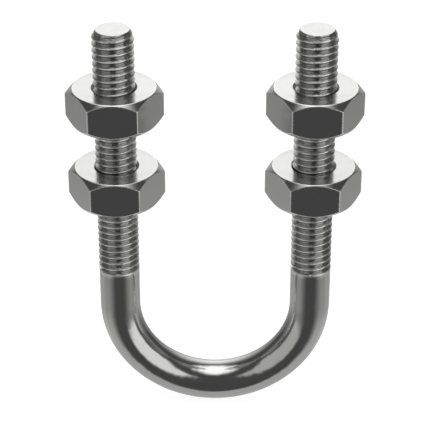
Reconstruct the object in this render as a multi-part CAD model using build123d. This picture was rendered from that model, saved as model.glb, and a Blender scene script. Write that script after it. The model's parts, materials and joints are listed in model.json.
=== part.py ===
from build123d import *
import math
import os

# U-bolt: a round rod bent into a U, threaded on both legs, with two hexagon nuts on each leg.
# Millimetres. +Z runs up the legs, +X from the left leg to the right one, and the front is -Y.
# The origin is the lowest point of the bend, midway between the legs.

# ---- driving dimensions ----
leg_spacing = 28.0             # between the legs' axes, and the diameter of the bend's centre line
shank_diameter = 5.82          # plain rod: the blank of a rolled M6 thread
plain_length = 6.15            # straight plain rod above the bend, on each leg
thread_length = 37.7           # threaded part of each leg
thread_diameter = 5.89         # M6 thread over its crests
thread_pitch = 1.0
thread_depth = 0.56
crest_width = 0.125            # flat on the top of the thread
root_width = 0.18              # flat at the bottom of the groove
crest_below_tip = 0.79         # height at which the thread's crest passes the front, under the leg's end
tip_face_radius = 2.355        # flat end face of the leg
tip_chamfer_height = 0.95

across_flats = 12.0
nut_height = 5.2
upper_nut_below_tip = 8.75     # leg's end down to the upper nut's top face
nut_gap = 7.1                  # upper nut's bottom face down to the lower nut's top face
chamfer_circle_diameter = 11.73
chamfer_angle = 42.0           # of the cone that turns the corners off, from the nut's face
countersink_diameter = 6.5
countersink_angle = 30.0       # of the countersink's wall, from the nut's face

thread_clearance = 0.08        # radial, nut thread to leg thread
flank_clearance = 0.07         # along the axis, on each flank
clamping_face_thickness = 0.12 # layer of the nut that travels without turning
layer_gap = 0.03               # between that layer and the rest of the nut

# ---- worked out from them ----
shank_radius = shank_diameter / 2
crest_radius = thread_diameter / 2
root_radius = crest_radius - thread_depth
bend_radius = leg_spacing / 2
bend_centre_z = bend_radius + shank_radius
thread_start_z = bend_centre_z + plain_length
leg_end_z = thread_start_z + thread_length
upper_nut_z = leg_end_z - upper_nut_below_tip - nut_height
lower_nut_z = upper_nut_z - nut_gap - nut_height
corner_radius = across_flats / 2 / math.cos(math.radians(30))
flank_slope = (thread_pitch - crest_width - root_width) / 2 / thread_depth
nut_bore_radius = root_radius + thread_clearance + 0.02
legs = {"left": -bend_radius, "right": bend_radius}
nut_bottoms = {"upper": upper_nut_z, "lower": lower_nut_z}


def turned(points):
    """Solid of revolution about Z from (radius, height) points."""
    return revolve(make_face(Plane.XZ * Polyline(*points, close=True)), Axis.Z)


def helical_band(inner, outer, side_z, turns):
    """Right-handed helical bar of trapezoid section round the Z axis, starting at +X, at side_z.

    inner and outer are (radius, width) of its two faces. One turn is swept, and the faces of that
    turn are repeated up the axis and sewn into one solid.
    """
    inner_radius, inner_width = inner
    outer_radius, outer_width = outer
    section = [
        (inner_radius, -inner_width / 2), (outer_radius, -outer_width / 2),
        (outer_radius, outer_width / 2), (inner_radius, inner_width / 2),
    ]
    path = Helix(pitch=thread_pitch, height=thread_pitch, radius=inner_radius)
    turn = sweep(make_face(Plane.XZ * Polyline(*section, close=True)), path=path, is_frenet=True)
    first_cap, last_cap = turn.faces().filter_by(GeomType.PLANE).sort_by(Axis.Z)
    sides = turn.faces().filter_by(GeomType.BSPLINE)
    faces = [Pos(0, 0, i * thread_pitch) * side for i in range(turns) for side in sides]
    faces += [first_cap, Pos(0, 0, (turns - 1) * thread_pitch) * last_cap]
    return Pos(0, 0, side_z) * Solid(Shell(faces))


def crest_z_at_side(turns_below_tip):
    """Height at which the leg's crest passes +X, a whole number of turns under its first."""
    quarter_turn = thread_pitch / 4
    return leg_end_z - crest_below_tip + quarter_turn - turns_below_tip * thread_pitch


def thread_groove():
    """What the die takes out of one leg: a V groove from the run-out to past the leg's end."""
    beyond = 0.1
    outer_width = root_width + 2 * (thread_depth + beyond) * flank_slope
    full_turns = math.floor(thread_length / thread_pitch)
    return helical_band(
        (root_radius, root_width), (crest_radius + beyond, outer_width),
        crest_z_at_side(full_turns) + thread_pitch / 2, full_turns + 1,
    )


def threaded_leg():
    """Straight leg on the Z axis: plain shank, thread, and chamfered end."""
    blank = turned([
        (0, leg_end_z), (tip_face_radius, leg_end_z), (crest_radius, leg_end_z - tip_chamfer_height),
        (crest_radius, thread_start_z), (shank_radius, thread_start_z),
        (shank_radius, bend_centre_z), (0, bend_centre_z),
    ])
    return blank - thread_groove()


def u_bolt():
    """The whole rod: a half-torus bend between two threaded legs, its faces listed from the top."""
    section = Pos(bend_radius, 0, bend_centre_z) * Circle(shank_radius)
    bend = revolve(section, Axis((0, 0, bend_centre_z), (0, 1, 0)), 180)
    left_leg, right_leg = [Pos(x, 0, 0) * threaded_leg() for x in legs.values()]
    rod = left_leg + [right_leg, bend]
    return Solid(Shell(rod.faces().sort_by(Axis.Z, reverse=True)))


def nut_blank():
    """Hexagon with flats to the front and back, corners turned off at both ends, countersunk bore."""
    outer = corner_radius + 0.1
    drop = (outer - chamfer_circle_diameter / 2) * math.tan(math.radians(chamfer_angle))
    face_radius = chamfer_circle_diameter / 2
    cones = turned([
        (0, 0), (face_radius, 0), (outer, drop), (outer, nut_height - drop),
        (face_radius, nut_height), (0, nut_height),
    ])
    hexagon = extrude(RegularPolygon(corner_radius, 6), nut_height)
    mouth = countersink_diameter / 2
    sink = (mouth - nut_bore_radius) * math.tan(math.radians(countersink_angle))
    bore = turned([
        (0, 0), (mouth, 0), (nut_bore_radius, sink), (nut_bore_radius, nut_height - sink),
        (mouth, nut_height), (0, nut_height),
    ])
    return (hexagon & cones) - bore


def nut_thread_space(bottom_z):
    """The groove that the tap cuts, in mesh with the leg's crest, from below the nut to above it."""
    beyond = 0.3
    outer_radius = crest_radius + thread_clearance
    outer_width = crest_width + 2 * flank_clearance - 2 * thread_clearance * flank_slope
    inner_radius = nut_bore_radius - beyond
    inner_width = outer_width + 2 * (outer_radius - inner_radius) * flank_slope
    crests_down = math.ceil((crest_z_at_side(0) - bottom_z + inner_width) / thread_pitch)
    return helical_band(
        (inner_radius, inner_width), (outer_radius, outer_width),
        crest_z_at_side(crests_down), math.ceil(nut_height / thread_pitch) + 2,
    )


def nut(bottom_z, clamps_at_top):
    """A nut at its height on the Z axis, as its clamping layer and the rest."""
    blank = Pos(0, 0, bottom_z) * nut_blank()
    size = 2 * corner_radius
    layer_z = bottom_z + (nut_height - clamping_face_thickness if clamps_at_top else 0)
    rest_z = bottom_z + (0 if clamps_at_top else clamping_face_thickness + layer_gap)
    rest_height = nut_height - clamping_face_thickness - layer_gap
    low = (Align.CENTER, Align.CENTER, Align.MIN)
    layer = blank & Pos(0, 0, layer_z) * Box(size, size, clamping_face_thickness, align=low)
    rest = blank & Pos(0, 0, rest_z) * Box(size, size, rest_height, align=low)
    return layer, rest - nut_thread_space(bottom_z)


os.makedirs("parts", exist_ok=True)
export_step(u_bolt(), "parts/u_bolt.step")
for level, bottom_z in nut_bottoms.items():
    layer, rest = nut(bottom_z, clamps_at_top=level == "lower")
    for side, x in legs.items():
        export_step(Pos(x, 0, 0) * layer, f"parts/{level}_{side}_nut_clamping_face.step")
        export_step(Pos(x, 0, 0) * rest, f"parts/{level}_{side}_nut.step")
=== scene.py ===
import json
import math

import bmesh
import bpy
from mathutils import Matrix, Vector


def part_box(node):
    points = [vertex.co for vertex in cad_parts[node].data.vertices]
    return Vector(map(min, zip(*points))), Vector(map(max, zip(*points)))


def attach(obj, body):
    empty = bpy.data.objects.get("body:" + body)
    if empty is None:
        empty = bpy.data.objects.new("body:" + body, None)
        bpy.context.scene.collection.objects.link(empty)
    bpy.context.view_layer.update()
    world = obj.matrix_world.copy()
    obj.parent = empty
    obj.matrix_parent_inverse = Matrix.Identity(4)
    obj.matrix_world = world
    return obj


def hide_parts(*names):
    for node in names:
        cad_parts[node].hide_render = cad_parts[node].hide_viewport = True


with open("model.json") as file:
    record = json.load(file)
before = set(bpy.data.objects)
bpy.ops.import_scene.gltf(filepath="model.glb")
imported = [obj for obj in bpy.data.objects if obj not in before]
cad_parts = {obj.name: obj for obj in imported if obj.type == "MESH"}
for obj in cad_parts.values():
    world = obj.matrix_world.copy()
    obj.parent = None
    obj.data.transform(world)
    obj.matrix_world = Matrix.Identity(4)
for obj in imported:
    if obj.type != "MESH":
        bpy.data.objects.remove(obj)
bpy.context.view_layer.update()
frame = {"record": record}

# U-bolt with four hexagon nuts. Lengths are millimetres until a mesh is made, which is in metres.
# Angles round a leg or a nut are degrees from the front (-Y), counterclockwise seen from above.
MM = 0.001

# ---- sizes read from the frame ----
mounts = {m["name"]: m for m in frame["record"]["mounts"]}
couplings = frame["record"]["behaviour"]["couplings"]
leg_spacing = mounts["leg_ends"]["dims"]["spacing_x_mm"]
crest_radius = mounts["leg_ends"]["dims"]["stud_r_mm"]
pitch = 2 * math.pi / couplings[0]["ratio"] / MM
bend_radius = leg_spacing / 2
shank_radius = bend_radius - mounts["pipe_saddle"]["dims"]["r_mm"]
bend_centre_z = mounts["pipe_saddle"]["pos_m"][2] / MM
leg_end_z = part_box("u_bolt")[1].z / MM
legs = {"left": -bend_radius, "right": bend_radius}

# ---- rod ----
plain_length = 6.15            # straight plain rod between the bend and the thread
thread_start_z = bend_centre_z + plain_length
crest_below_tip = 0.79         # where the first crest passes the front, under the leg's end
thread_depth = 0.56
crest_width = 0.125
root_width = 0.18
crest_rounding = 0.1
root_rounding = 0.09
root_radius = crest_radius - thread_depth
polish_and_highlight_share = 0.88          # share of the thread's depth above which a crest is polished and painted bright as a highlight
shaded_recess_share = 0.05             # and below which the groove is painted dark as shade
tip_face_radius = 2.355
tip_chamfer_height = 0.95
tip_edge_rounding = 0.07
tip_rings = (2.2, 1.6, 0.8, 0.3)   # radii of the rings that make up the leg's end face
thread_fades_from = 0.1        # under the leg's end: above this the chamfer has no thread
thread_fades_over = 1.1        # height over which it grows to full depth, in chamfer heights
run_out_bead = 0.08            # radius of the rounded bead where the thread ends
run_out_height = 0.2           # from the end of the thread down to the plain shank
rod_columns = 72
plain_steps = 8
bend_steps = 110
rod_sharp_angle = 40

# ---- nut ----
chamfer_circle_radius = 5.865
chamfer_slope = math.tan(math.radians(42))
mouth_radius = 3.25
countersink_slope = math.tan(math.radians(30))
bore_radius = root_radius + 0.1
nut_thread_radius = crest_radius + 0.08
nut_root_width = 0.173
nut_crest_width = 0.28
nut_thread_rounding = 0.05
corner_rounding = 0.22
corner_support = 0.4           # degrees between a flat's end and the column that keeps it flat
edge_rounding = 0.15
edge_steps = 3
edge_support = 0.05            # beyond each end of an edge's arc
flat_columns = 20
corner_columns = 4
nut_sharp_angle = 30


# ---------------------------------------------------------------- mesh building
class Skin:
    """The points and faces of one piece, laid ring by ring, with what its materials need to know.

    A spot is a point, its place in the straight, upright stock that the piece was made from (grain),
    and the direction of the tool marks there (lay). Each spot also has a value for wear and painted
    light, from -1 in a recess painted dark as shade to 1 on an edge that handling has polished and
    that is painted bright as a highlight.
    """

    def __init__(self):
        self.spots = []
        self.wear_and_light = []
        self.faces = []
        self.finishes = []
        self.finish = 0

    def ring(self, spots, wear_and_light=0.0):
        first = len(self.spots)
        self.spots += spots
        self.wear_and_light += wear_and_light if isinstance(wear_and_light, list) else [wear_and_light] * len(spots)
        return list(range(first, len(self.spots)))

    def face(self, *corners):
        corners = list(dict.fromkeys(corners))
        if len(corners) > 2:
            self.faces.append(corners)
            self.finishes.append(self.finish)

    def bridge(self, ring, other):
        for k in range(len(ring)):
            after = (k + 1) % len(ring)
            self.face(ring[k], ring[after], other[after], other[k])

    def cap(self, ring, centre):
        for k in range(len(ring)):
            self.face(ring[k], ring[(k + 1) % len(ring)], centre)

    def piece(self, name, materials, sharp_angle):
        """The finished object, in metres, smooth except where it turns more than sharp_angle."""
        mesh = bpy.data.meshes.new(name)
        points, grain, lay = zip(*self.spots)
        mesh.from_pydata([Vector(p) * MM for p in points], [], self.faces)
        for material in materials:
            mesh.materials.append(material)
        mesh.polygons.foreach_set("material_index", self.finishes)
        work = bmesh.new()
        work.from_mesh(mesh)
        bmesh.ops.recalc_face_normals(work, faces=work.faces)
        work.to_mesh(mesh)
        work.free()
        for label, vectors in (("grain", grain), ("lay", lay)):
            values = mesh.attributes.new(label, "FLOAT_VECTOR", "POINT").data
            values.foreach_set("vector", [c for vector in vectors for c in vector])
        mesh.attributes.new("wear_and_light", "FLOAT", "POINT").data.foreach_set("value", self.wear_and_light)
        mesh.shade_smooth()
        mesh.set_sharp_from_angle(angle=math.radians(sharp_angle))
        piece = bpy.data.objects.new(name, mesh)
        bpy.context.scene.collection.objects.link(piece)
        weighted = piece.modifiers.new("flat faces stay flat", "WEIGHTED_NORMAL")
        weighted.mode = "FACE_AREA"
        weighted.keep_sharp = True
        return piece


def around(x, angle, radius, z):
    """Point at an angle from the front, round the vertical axis at x."""
    turn = math.radians(angle)
    return (x + radius * math.sin(turn), -radius * math.cos(turn), z)


def circumferential(angle):
    """Direction round a vertical axis at an angle from the front."""
    turn = math.radians(angle)
    return (math.cos(turn), math.sin(turn), 0)


def rounded(corners, radius, steps, support=0.0, most=0.3):
    """Open path of (r, z) corners with each inner corner turned into a small arc.

    support adds a point that far beyond each end of the arc, so that shading stays in the arc. most
    is the largest share of a straight stretch that one arc may take.
    """
    path = [corners[0]]
    for before, corner, after in zip(corners, corners[1:], corners[2:]):
        corner = Vector(corner)
        into, out = Vector(before) - corner, Vector(after) - corner
        turn = math.pi - into.angle(out)
        reach = min(radius * math.tan(turn / 2), most * into.length, most * out.length)
        into, out = into.normalized(), out.normalized()
        start, end = corner + into * reach, corner + out * reach
        shares = [i / steps for i in range(steps + 1)]
        arc = [start * (1 - t) ** 2 + corner * 2 * t * (1 - t) + end * t * t for t in shares]
        if support:
            more = min(support, 0.4 * into.length, 0.4 * out.length)
            arc = [start + into * more] + arc + [end + out * more]
        path += [tuple(point) for point in arc]
    return path + [corners[-1]]


def thread_profile(inner, outer, outer_width, inner_width, outer_rounding, inner_rounding):
    """(height, radius) over one pitch of a V thread, from the middle of its outer flat upwards.

    The flank has a point near each of its ends, so that shading stays in the roundings.
    """
    near_crest, near_root = 0.16, 0.8
    crest = Vector((outer_width / 2, outer))
    root = Vector((pitch / 2 - inner_width / 2, inner))
    below_crest, above_root = crest.lerp(root, near_crest), crest.lerp(root, near_root)
    upper = rounded([(0, outer), crest, below_crest], outer_rounding, 2, most=0.9)
    lower = rounded([above_root, root, (pitch / 2, inner)], inner_rounding, 1, most=0.9)
    half = upper + lower
    other_half = [(pitch - z, r) for z, r in reversed(half[1:-1])]
    return [tuple(point) for point in half + other_half]


def profile_radius(profile, height):
    """Radius of the thread at a height over its crest."""
    height %= pitch
    points = profile + [(pitch, profile[0][1])]
    for (z0, r0), (z1, r1) in zip(points, points[1:]):
        if z0 <= height <= z1:
            return r0 + (r1 - r0) * (height - z0) / (z1 - z0)


def thread(skin, place, profile, angles, crest_z, bottom, top, limit, wear_and_light):
    """Threaded wall between two level planes. Rows follow the helix. Returns its end rings.

    crest_z is where an outer flat passes the front, place(angle, r, z) gives a spot, limit(z, r) cuts
    the thread to a cone, and the last argument gives, for a radius, the value for wear and painted
    light.
    """
    nearly = 0.02              # a point this close to an end plane joins that plane's ring
    count = len(profile)

    def put(angle, radius, z):
        return skin.ring([place(angle, limit(z, radius), z)], wear_and_light(radius))[0]

    def level_ring(z):
        radii = [profile_radius(profile, z - crest_z - pitch * a / 360) for a in angles]
        return [put(a, r, z) for a, r in zip(angles, radii)]

    bottom_ring, top_ring = level_ring(bottom), level_ring(top)
    first = math.floor((bottom - crest_z) / pitch) - 1
    last = math.ceil((top - crest_z) / pitch)
    placed = {}
    for row in range(first * count, last * count + count):
        height, radius = profile[row % count]
        for k, angle in enumerate(angles):
            z = crest_z + row // count * pitch + height + pitch * angle / 360
            if z <= bottom + nearly:
                placed[row, k] = bottom_ring[k]
            elif z >= top - nearly:
                placed[row, k] = top_ring[k]
            else:
                placed[row, k] = put(angle, radius, z)
    for row in range(first * count, last * count - 1):
        for k in range(len(angles)):
            wraps = k + 1 == len(angles)
            after, shift = (0, count) if wraps else (k + 1, 0)
            skin.face(placed[row, k], placed[row + shift, after],
                      placed[row + 1 + shift, after], placed[row + 1, k])
    return bottom_ring, top_ring


# ---------------------------------------------------------------- u-bolt
PLAIN, THREAD, CUT_END = 0, 1, 2


def tip_limit(z, radius):
    """Radius of a leg where the chamfer at its end cuts the thread, which fades out over it."""
    below = leg_end_z - z
    cone = tip_face_radius + below * (crest_radius - tip_face_radius) / tip_chamfer_height
    share = (below - thread_fades_from) / (tip_chamfer_height * thread_fades_over)
    share = min(max(share, 0), 1)
    depth = share * share * (3 - 2 * share)
    return min(radius, cone) * depth + min(crest_radius, cone) * (1 - depth)


def rod_place(x):
    """Makes a leg's spots. Their grain is where they were before the rod was bent, Z along the rod."""
    side = 1 if x > 0 else -1

    def place(angle, radius, z):
        point = around(x, angle, radius, z)
        along = z - bend_centre_z + bend_radius * math.pi / 2
        return point, (side * (point[0] - x), point[1], -side * along), circumferential(angle)
    return place


def rod_wear_and_light(radius):
    """Crests are polished by the nuts and painted bright as a highlight; the bottom of the groove is
    painted dark as shade.
    """
    share = (radius - root_radius) / thread_depth
    return 1.0 if share > polish_and_highlight_share else -1.0 if share < shaded_recess_share else 0.0


def quarter_arc(radius):
    """(inward, along) steps of a rounded edge, from a cylinder's wall to its end."""
    turns = [math.radians(degrees) for degrees in (0, 30, 60, 90)]
    return [(radius * (1 - math.cos(turn)), radius * math.sin(turn)) for turn in turns]


def leg(skin, x, angles):
    """One leg from its tip to the bend. Returns the ring that meets the bend."""
    place = rod_place(x)

    def level(radii, z, wear_and_light=0.0):
        return skin.ring([place(a, r, z) for a, r in zip(angles, radii)], wear_and_light)

    skin.finish = THREAD
    profile = thread_profile(root_radius, crest_radius, crest_width, root_width,
                             crest_rounding, root_rounding)
    start, end = thread(skin, place, profile, angles, leg_end_z - crest_below_tip,
                        thread_start_z, leg_end_z - tip_edge_rounding, tip_limit, rod_wear_and_light)
    edge_radii = [math.dist(skin.spots[i][0][:2], (x, 0)) for i in end]
    # the rim of the leg's end counts as worn and is painted bright as a highlight
    edge_wear_and_light = 0.6
    ring = end
    for inward, up in quarter_arc(tip_edge_rounding)[1:]:
        radii = [r - inward for r in edge_radii]
        after = level(radii, leg_end_z - tip_edge_rounding + up, edge_wear_and_light)
        skin.bridge(ring, after)
        ring = after
    skin.finish = CUT_END
    for radius in tip_rings:
        after = level([radius] * len(angles), leg_end_z)
        skin.bridge(ring, after)
        ring = after
    skin.cap(ring, skin.ring([place(0, 0, leg_end_z)])[0])

    # the bead that the dies left at the end of the thread, then the plain shank
    skin.finish = PLAIN
    bead_z = thread_start_z - run_out_bead
    # the bead counts as worn and is painted bright as a highlight; the shank does not
    levels = [(crest_radius - inward, bead_z + up, 1.0)
              for inward, up in reversed(quarter_arc(run_out_bead))]
    levels.append((shank_radius, thread_start_z - run_out_height, 0.0))
    for step in range(1, plain_steps + 1):
        levels.append((shank_radius, bend_centre_z + plain_length * (1 - step / plain_steps), 0.0))
    ring = start
    for radius, z, wear_and_light in levels:
        lower = level([radius] * len(angles), z, wear_and_light)
        skin.bridge(lower, ring)
        ring = lower
    return ring


def u_bolt():
    """The rod: threaded legs, plain shanks and the half-circle bend between them."""
    skin = Skin()
    angles = [360 * k / rod_columns for k in range(rod_columns)]
    left = leg(skin, legs["left"], angles)
    right = leg(skin, legs["right"], angles)
    ring = left
    for step in range(1, bend_steps):
        swing = math.pi * step / bend_steps
        along = (math.sin(swing), 0, -math.cos(swing))
        spots = []
        for angle in angles:
            turn = math.radians(angle)
            outward, front = -shank_radius * math.sin(turn), -shank_radius * math.cos(turn)
            reach = bend_radius + outward
            point = (-reach * math.cos(swing), front, bend_centre_z - reach * math.sin(swing))
            spots.append((point, (outward, front, bend_radius * (math.pi / 2 - swing)), along))
        lower = skin.ring(spots)
        skin.bridge(lower, ring)
        ring = lower
    # swung half round, the section meets the right leg with its columns in reverse order
    mirrored = [right[(rod_columns - k) % rod_columns] for k in range(rod_columns)]
    skin.bridge(mirrored, ring)
    return skin.piece("rod", [rod_plain, rod_thread, rod_end], rod_sharp_angle)


# ---------------------------------------------------------------- nuts
FLAT, END_FACE, CHAMFER, BORE = 0, 1, 2, 3


def hexagon_columns(half_flats):
    """(angle, radius, wear and painted light) round a hexagon with a flat to the front and rounded
    upright corners, which count as worn and are painted bright as highlights.
    """
    corner = half_flats / math.cos(math.radians(30))
    centre = corner - corner_rounding / math.sin(math.radians(60))
    arc_end = centre + corner_rounding * math.cos(math.radians(30))
    spread = math.degrees(math.atan2(corner_rounding / 2, arc_end))
    edge = 30 - spread
    offsets = [edge * (2 * i / flat_columns - 1) for i in range(flat_columns + 1)]
    offsets[1:1] = [corner_support - edge]
    offsets[-1:-1] = [edge - corner_support]
    columns = []
    for side in range(0, 360, 60):
        for offset in offsets:
            # the ends of a flat and, below, the corner arcs count as worn and are painted bright as
            # highlights
            wear_and_light = 1.0 if abs(offset) == edge else 0.0
            columns.append((side + offset, half_flats / math.cos(math.radians(offset)), wear_and_light))
        for i in range(1, corner_columns):
            offset = spread * (2 * i / corner_columns - 1)
            turn = math.radians(offset)
            reach = math.sqrt(corner_rounding ** 2 - (centre * math.sin(turn)) ** 2)
            columns.append((side + 30 + offset, centre * math.cos(turn) + reach, 1.0))
    columns = [(angle % 360, radius, wear_and_light) for angle, radius, wear_and_light in columns]
    return sorted(columns)


def nut_path(radius, bottom, top):
    """(r, z) from the mouth of the bore over the top face, down a flat and back to the lower mouth."""
    drop = (radius - chamfer_circle_radius) * chamfer_slope
    corners = [
        (mouth_radius, top), (chamfer_circle_radius, top), (radius, top - drop),
        (radius, bottom + drop), (chamfer_circle_radius, bottom), (mouth_radius, bottom),
    ]
    return rounded(corners, edge_rounding, edge_steps, edge_support)


def nut(name, x):
    """One nut: turned end faces, chamfered corners, countersunk and threaded bore."""
    low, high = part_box(name)
    face_low, face_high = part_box(name + "_clamping_face")
    bottom, top = min(low.z, face_low.z) / MM, max(high.z, face_high.z) / MM
    half_flats = (high.y - low.y) / 2 / MM
    middle = (bottom + top) / 2
    skin = Skin()
    columns = hexagon_columns(half_flats)
    angles = [angle for angle, _, _ in columns]

    def place(angle, radius, z):
        point = around(x, angle, radius, z)
        return point, (point[0] - x, point[1], z - middle), circumferential(angle)

    def mouth_limit(z, radius):
        depth = min(top - z, z - bottom)
        return max(radius, mouth_radius - depth / countersink_slope)

    # painted shade: the bore and its countersink are painted dark; only radii beyond the thread's
    # outer one would count as worn
    def bore_wear_and_light(radius):
        return 1.0 if radius > nut_thread_radius else -1.0

    skin.finish = BORE
    profile = thread_profile(bore_radius, nut_thread_radius, nut_root_width, nut_crest_width,
                             nut_thread_rounding, nut_thread_rounding)
    bottom_ring, top_ring = thread(skin, place, profile, angles, leg_end_z - crest_below_tip,
                                   bottom, top, mouth_limit, bore_wear_and_light)

    # the wall outside the bore: four edges, each an arc with a support point at both ends
    paths = [nut_path(radius, bottom, top) for _, radius, _ in columns]
    across_edge = edge_steps + 3
    ring = top_ring
    for i in range(len(paths[0])):
        edge, step = divmod(i - 1, across_edge)
        on_arc = 0 <= edge < 4 and 0 < step < across_edge - 1
        on_flat = (edge, step) in ((1, across_edge - 1), (2, 0))
        spots = [place(a, *path[i]) for a, path in zip(angles, paths)]
        # the rounded edges count as worn and are painted bright as highlights
        wear_and_light = [1.0 if on_arc or (on_flat and column[2]) else 0.0 for column in columns]
        lower = skin.ring(spots, wear_and_light)
        zone = (i - 1 + across_edge // 2) // across_edge
        skin.finish = (END_FACE, CHAMFER, FLAT, CHAMFER, END_FACE)[zone]
        skin.bridge(ring, lower)
        ring = lower
    skin.bridge(ring, bottom_ring)
    return skin.piece(name + "_body", [nut_flat, nut_face, nut_chamfer, nut_bore], nut_sharp_angle)


# ---------------------------------------------------------------- materials
class Nodes:
    """Short names for the nodes that the materials and the light are made of."""

    def __init__(self, tree):
        self.tree = tree

    def feed(self, socket, value):
        if isinstance(value, bpy.types.NodeSocket):
            self.tree.links.new(value, socket)
        else:
            socket.default_value = value

    def math(self, operation, a, b=None):
        node = self.tree.nodes.new("ShaderNodeMath")
        node.operation = operation
        self.feed(node.inputs[0], a)
        if b is not None:
            self.feed(node.inputs[1], b)
        return node.outputs[0]

    def fade(self, value, zero_at, one_at):
        """0 on one side of an edge and 1 on the other, with a smooth change between."""
        node = self.tree.nodes.new("ShaderNodeMapRange")
        node.interpolation_type = "SMOOTHSTEP"
        rising = zero_at < one_at
        node.inputs["From Min"].default_value = min(zero_at, one_at)
        node.inputs["From Max"].default_value = max(zero_at, one_at)
        node.inputs["To Min"].default_value = 0 if rising else 1
        node.inputs["To Max"].default_value = 1 if rising else 0
        self.feed(node.inputs["Value"], value)
        return node.outputs["Result"]

    def attribute(self, name, output):
        node = self.tree.nodes.new("ShaderNodeAttribute")
        node.attribute_name = name
        return node.outputs[output]

    def in_world(self, direction):
        """A direction on the piece, turned with the piece."""
        node = self.tree.nodes.new("ShaderNodeVectorTransform")
        node.vector_type = "VECTOR"
        node.convert_from = "OBJECT"
        node.convert_to = "WORLD"
        self.feed(node.inputs[0], direction)
        return node.outputs[0]

    def noise(self, vector, lengths, detail):
        """Noise from 0 to 1 whose grains are as long as lengths, in millimetres, along X, Y and Z."""
        stretch = self.tree.nodes.new("ShaderNodeVectorMath")
        stretch.operation = "DIVIDE"
        self.feed(stretch.inputs[0], vector)
        stretch.inputs[1].default_value = lengths
        node = self.tree.nodes.new("ShaderNodeTexNoise")
        node.inputs["Scale"].default_value = 1.0
        node.inputs["Detail"].default_value = detail
        self.feed(node.inputs["Vector"], stretch.outputs[0])
        return node.outputs[0]

    def rings(self, vector):
        """The vector with its X replaced by the distance from the Z axis, for turned surfaces."""
        flat = self.tree.nodes.new("ShaderNodeVectorMath")
        flat.operation = "MULTIPLY"
        self.feed(flat.inputs[0], vector)
        flat.inputs[1].default_value = (1, 1, 0)
        length = self.tree.nodes.new("ShaderNodeVectorMath")
        length.operation = "LENGTH"
        self.feed(length.inputs[0], flat.outputs[0])
        split = self.tree.nodes.new("ShaderNodeSeparateXYZ")
        self.feed(split.inputs[0], vector)
        join = self.tree.nodes.new("ShaderNodeCombineXYZ")
        self.feed(join.inputs[0], length.outputs["Value"])
        self.feed(join.inputs[1], split.outputs[1])
        self.feed(join.inputs[2], split.outputs[2])
        return join.outputs[0]

    def far_along(self, vector):
        """How far a point is from the middle of the rod, along it."""
        split = self.tree.nodes.new("ShaderNodeSeparateXYZ")
        self.feed(split.inputs[0], vector)
        return self.math("ABSOLUTE", split.outputs[2])

    def hatch(self, vector, slant, lengths):
        """Short scratches from 0 to 1 that cross each other, slanted both ways by degrees."""
        layers = []
        for angle in (slant, -slant):
            turn = self.tree.nodes.new("ShaderNodeVectorRotate")
            turn.rotation_type = "Y_AXIS"
            turn.inputs["Angle"].default_value = math.radians(angle)
            self.feed(turn.inputs["Vector"], vector)
            layers.append(self.noise(turn.outputs[0], lengths, 1.0))
        return self.math("MULTIPLY", self.math("ADD", *layers), 0.5)

    def mix(self, share, a, b, kind="FLOAT"):
        node = self.tree.nodes.new("ShaderNodeMix")
        node.data_type = kind
        sockets = {"FLOAT": (0, 2, 3, 0), "RGBA": (0, 6, 7, 2)}[kind]
        for socket, value in zip(sockets[:3], (share, a, b)):
            self.feed(node.inputs[socket], value)
        return node.outputs[sockets[3]]


# what all the steel has in common: polished edges painted bright as highlights, recesses painted dark
# as shade, specks and crossed scratches
polish_and_highlight_shade, polished_roughness = 0.93, 0.3
# colour, roughness and cover of recesses painted dark as shade
painted_recess_shade, recess_roughness, recess_shade_cover = 0.16, 0.45, 0.8
smoothest, roughest = 0.85, 1.2    # shares of a steel's roughness, from patch to patch
speck_size, speck_height = 0.2, 0.0006
hatch_slant = 15               # degrees from level, both ways
hatch_lengths = (0.9, 0.9, 0.13)
hatch_darkening = 0.86
waves_end, waves_full = 24, 12     # along the rod, from the middle of the bend


def grey(value):
    """Steel's colour at a brightness: very slightly warm."""
    return (value, value, value * 0.99, 1)


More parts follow.
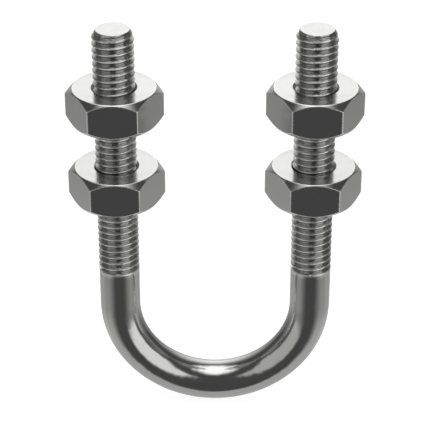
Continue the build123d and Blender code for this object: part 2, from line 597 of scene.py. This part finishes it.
def steel(name, shade=0.58, variation=0.04, roughness=0.11, streaks=(0.25, 0.25, 6),
          streak_height=0.001, waves=(1.6, 1.6, 3), wave_height=0.002, bent=False,
          hatch_height=0.0, turned=False, brushed=0.0):
    """Bright steel: worked streaks, uneven polish, worn edges painted bright as highlights and
    recesses painted dark as shade. Lengths in mm.

    shade is how bright it is, variation how much that differs from streak to streak. bent keeps the
    waves to the bend of the rod, hatch_height is for crossed scratches, and turned for streaks in
    rings. brushed is how far reflections spread across the tool marks.
    """
    material = bpy.data.materials.new(name)
    material.use_nodes = True
    shader = material.node_tree.nodes["Principled BSDF"]
    shader.inputs["Metallic"].default_value = 1.0
    shader.inputs["Anisotropic"].default_value = brushed
    shader.inputs["Anisotropic Rotation"].default_value = 0.25
    nodes = Nodes(material.node_tree)
    grain = nodes.attribute("grain", "Vector")
    wear_and_light = nodes.attribute("wear_and_light", "Fac")
    if brushed:
        nodes.feed(shader.inputs["Tangent"], nodes.in_world(nodes.attribute("lay", "Vector")))
    if turned:
        grain = nodes.rings(grain)
    worked = nodes.noise(grain, streaks, 3.0)
    wavy = nodes.noise(grain, waves, 1.0)
    specks = nodes.noise(grain, (speck_size,) * 3, 3.0)

    # painted highlight: worn edges and crests get a much brighter colour and more roughness
    polish_and_highlight = nodes.math("MULTIPLY", nodes.fade(wear_and_light, 0.15, 0.9), nodes.fade(specks, 0.1, 0.5))
    # painted shade: recesses get a dark colour and more roughness
    shaded_recess = nodes.fade(wear_and_light, -0.1, -1.0)
    low, high = grey(shade * (1 - variation)), grey(shade * (1 + variation))
    colour = nodes.mix(nodes.fade(worked, 0.25, 0.75), low, high, "RGBA")
    rough = nodes.mix(nodes.fade(wavy, 0.2, 0.8), roughness * smoothest, roughness * roughest)
    height = nodes.math("MULTIPLY", worked, streak_height)
    lift = nodes.math("MULTIPLY", wavy, wave_height)
    if bent:
        in_bend = nodes.fade(nodes.far_along(grain), waves_end, waves_full)
        lift = nodes.math("MULTIPLY", lift, in_bend)
    height = nodes.math("ADD", height, lift)
    height = nodes.math("ADD", height, nodes.math("MULTIPLY", specks, speck_height))
    if hatch_height:
        scratches = nodes.hatch(grain, hatch_slant, hatch_lengths)
        unscratched = nodes.fade(scratches, 0.38, 0.52)
        colour = nodes.mix(unscratched, grey(shade * hatch_darkening), colour, "RGBA")
        height = nodes.math("ADD", height, nodes.math("MULTIPLY", scratches, hatch_height))
    # painted highlight on worn edges and crests, then painted shade in recesses
    colour = nodes.mix(polish_and_highlight, colour, grey(polish_and_highlight_shade), "RGBA")
    covered = nodes.math("MULTIPLY", shaded_recess, recess_shade_cover)
    colour = nodes.mix(covered, colour, grey(painted_recess_shade), "RGBA")
    rough = nodes.mix(polish_and_highlight, rough, polished_roughness)
    rough = nodes.mix(shaded_recess, rough, recess_roughness)
    nodes.feed(shader.inputs["Base Color"], colour)
    nodes.feed(shader.inputs["Roughness"], rough)
    bump = material.node_tree.nodes.new("ShaderNodeBump")
    bump.inputs["Strength"].default_value = 1.0
    bump.inputs["Distance"].default_value = MM
    nodes.feed(bump.inputs["Height"], height)
    nodes.feed(shader.inputs["Normal"], bump.outputs[0])
    return material


rod_plain = steel("rod_plain_drawn", roughness=0.13, waves=(2.7, 2.7, 1.9), wave_height=0.045,
                  bent=True)
rod_thread = steel("rod_thread_rolled", shade=0.57, roughness=0.21, streaks=(0.9, 0.9, 0.07),
                   hatch_height=0.08, brushed=0.9)
# painted light: the leg's end face is painted lighter than the rest of the rod, for the light it
# catches
rod_end = steel("rod_end_cut_painted_lighter", shade=0.67, variation=0.02, roughness=0.2, streaks=(0.12, 2.5, 1))
nut_flat = steel("nut_flat_drawn", variation=0.02, roughness=0.14, streaks=(0.3, 0.3, 4),
                 streak_height=0.0004)
# painted light: the nuts' end faces are painted lighter than their flats and chamfers, for the light
# they catch
nut_face = steel("nut_face_turned_painted_lighter", shade=0.68, variation=0.015, roughness=0.2, streaks=(0.09, 3, 3),
                 streak_height=0.0006, turned=True, brushed=0.7)
nut_chamfer = steel("nut_chamfer_turned", variation=0.02, roughness=0.12, streaks=(0.07, 3, 3),
                    streak_height=0.0004, turned=True)
nut_bore = steel("nut_bore_tapped", roughness=0.25, streaks=(0.6, 0.6, 0.08))

# ---------------------------------------------------------------- pieces on their bodies
rod = u_bolt()
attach(rod, "u_bolt")
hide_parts("u_bolt")
for level in ("upper", "lower"):
    for side, x in legs.items():
        name = f"{level}_{side}_nut"
        piece = nut(name, x)
        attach(piece, name)
        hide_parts(name, name + "_clamping_face")


# ---------------------------------------------------------------- studio
def camera():
    """Long lens in front of the bolt, looking down at about the middle of its height."""
    distance, elevation, look_at_z = 257.5, 29.68, 31.6
    data = bpy.data.cameras.new("camera")
    data.lens = 149.46
    data.sensor_width = 36
    data.clip_start = 0.01
    data.clip_end = 20
    turn = math.radians(elevation)
    place = Vector((0, -distance * math.cos(turn), look_at_z + distance * math.sin(turn))) * MM
    view = bpy.data.objects.new("camera", data)
    view.location = place
    view.rotation_euler = (math.radians(90 - elevation), 0, 0)
    bpy.context.scene.collection.objects.link(view)
    bpy.context.scene.camera = view


def floor():
    """Plain pale floor, left out of the steel's reflections. It glows, so its shadows stay faint."""
    reach, paper, glow = 3, 0.4, 0.88
    mesh = bpy.data.meshes.new("floor")
    corners = [(-reach, -reach, 0), (reach, -reach, 0), (reach, reach, 0), (-reach, reach, 0)]
    mesh.from_pydata(corners, [], [(0, 1, 2, 3)])
    piece = bpy.data.objects.new("floor", mesh)
    bpy.context.scene.collection.objects.link(piece)
    piece.visible_glossy = False
    material = bpy.data.materials.new("floor_paper")
    material.use_nodes = True
    shader = material.node_tree.nodes["Principled BSDF"]
    shader.inputs["Base Color"].default_value = (paper, paper, paper, 1)
    shader.inputs["Roughness"].default_value = 1.0
    shader.inputs["Specular IOR Level"].default_value = 0
    shader.inputs["Emission Color"].default_value = (1, 1, 1, 1)
    shader.inputs["Emission Strength"].default_value = glow
    mesh.materials.append(material)


# Soft boxes round the object: (azimuth from, to), (elevation from, to), brightness. Degrees, with
# azimuth 0 at the front and positive to the right.
dark_room = 0.085
ground_light = 0.46
overhead_light = 1.6
wall_light = 1.34
soft_boxes = {
    "left_box": ((-76, -21), (-23, 33), 0.5),
    "right_box": ((20, 73), (-23, 33), 1.0),
    "left_strip": ((-112, -86), (-30, 25), 0.1),
    "right_strip": ((86, 112), (-30, 25), 0.1),
    "left_low": ((-150, -100), (-50, -8), 0.09),
    "right_low": ((100, 150), (-50, -8), 0.08),
}
box_edge = 5                   # half the width of a box's soft edge


def studio_light():
    """World light: white overhead and behind, soft boxes to the sides, dark to the front.

    The camera itself sees white paper instead.
    """
    world = bpy.data.worlds.new("studio")
    world.use_nodes = True
    tree = world.node_tree
    tree.nodes.clear()
    sky = Nodes(tree)
    direction = tree.nodes.new("ShaderNodeTexCoord").outputs["Generated"]
    axes = tree.nodes.new("ShaderNodeSeparateXYZ")
    tree.links.new(direction, axes.inputs[0])
    x, y, z = axes.outputs
    to_degrees = 180 / math.pi
    around_z = sky.math("ARCTAN2", x, sky.math("MULTIPLY", y, -1))
    azimuth = sky.math("MULTIPLY", around_z, to_degrees)
    aside = sky.math("ABSOLUTE", azimuth)
    elevation = sky.math("MULTIPLY", sky.math("ARCSINE", z), to_degrees)

    # pale ground, which starts lower at the front
    to_front = sky.math("MULTIPLY", sky.fade(aside, 70, 20), sky.fade(elevation, -53, -44))
    ground = sky.math("MULTIPLY", sky.fade(elevation, -12, -45), sky.math("SUBTRACT", 1, to_front))
    light = sky.math("ADD", sky.math("MULTIPLY", ground, ground_light), dark_room)
    # white overhead, which reaches some degrees lower in front and behind than at the sides
    reach_in_line, reach_at_sides = 7, 3
    twice_round = sky.math("COSINE", sky.math("MULTIPLY", around_z, 2))
    reach = sky.math("MAXIMUM", sky.math("MULTIPLY", twice_round, reach_in_line), reach_at_sides)
    overhead = sky.fade(sky.math("ADD", elevation, reach), 58, 78)
    light = sky.math("ADD", light, sky.math("MULTIPLY", overhead, overhead_light))
    # white wall behind
    wall = sky.math("MULTIPLY", sky.fade(aside, 124, 186), sky.fade(elevation, -35, 22))
    wall = sky.math("MULTIPLY", wall, sky.fade(elevation, 60, 22))
    light = sky.math("ADD", light, sky.math("MULTIPLY", wall, wall_light))
    for (az_from, az_to), (el_from, el_to), brightness in soft_boxes.values():
        edges = [
            (azimuth, az_from - box_edge, az_from + box_edge),
            (azimuth, az_to + box_edge, az_to - box_edge),
            (elevation, el_from - box_edge, el_from + box_edge),
            (elevation, el_to + box_edge, el_to - box_edge),
        ]
        box = brightness
        for edge in edges:
            box = sky.math("MULTIPLY", sky.fade(*edge), box)
        light = sky.math("ADD", light, box)

    boxes = tree.nodes.new("ShaderNodeBackground")
    paper = tree.nodes.new("ShaderNodeBackground")
    path = tree.nodes.new("ShaderNodeLightPath")
    choose = tree.nodes.new("ShaderNodeMixShader")
    output = tree.nodes.new("ShaderNodeOutputWorld")
    boxes.inputs["Color"].default_value = (1, 1, 1, 1)
    paper.inputs["Color"].default_value = (1, 1, 1, 1)
    tree.links.new(light, boxes.inputs["Strength"])
    tree.links.new(path.outputs["Is Camera Ray"], choose.inputs[0])
    tree.links.new(boxes.outputs[0], choose.inputs[1])
    tree.links.new(paper.outputs[0], choose.inputs[2])
    tree.links.new(choose.outputs[0], output.inputs["Surface"])
    bpy.context.scene.world = world
    bpy.context.scene.view_settings.view_transform = "Standard"


camera()
floor()
studio_light()
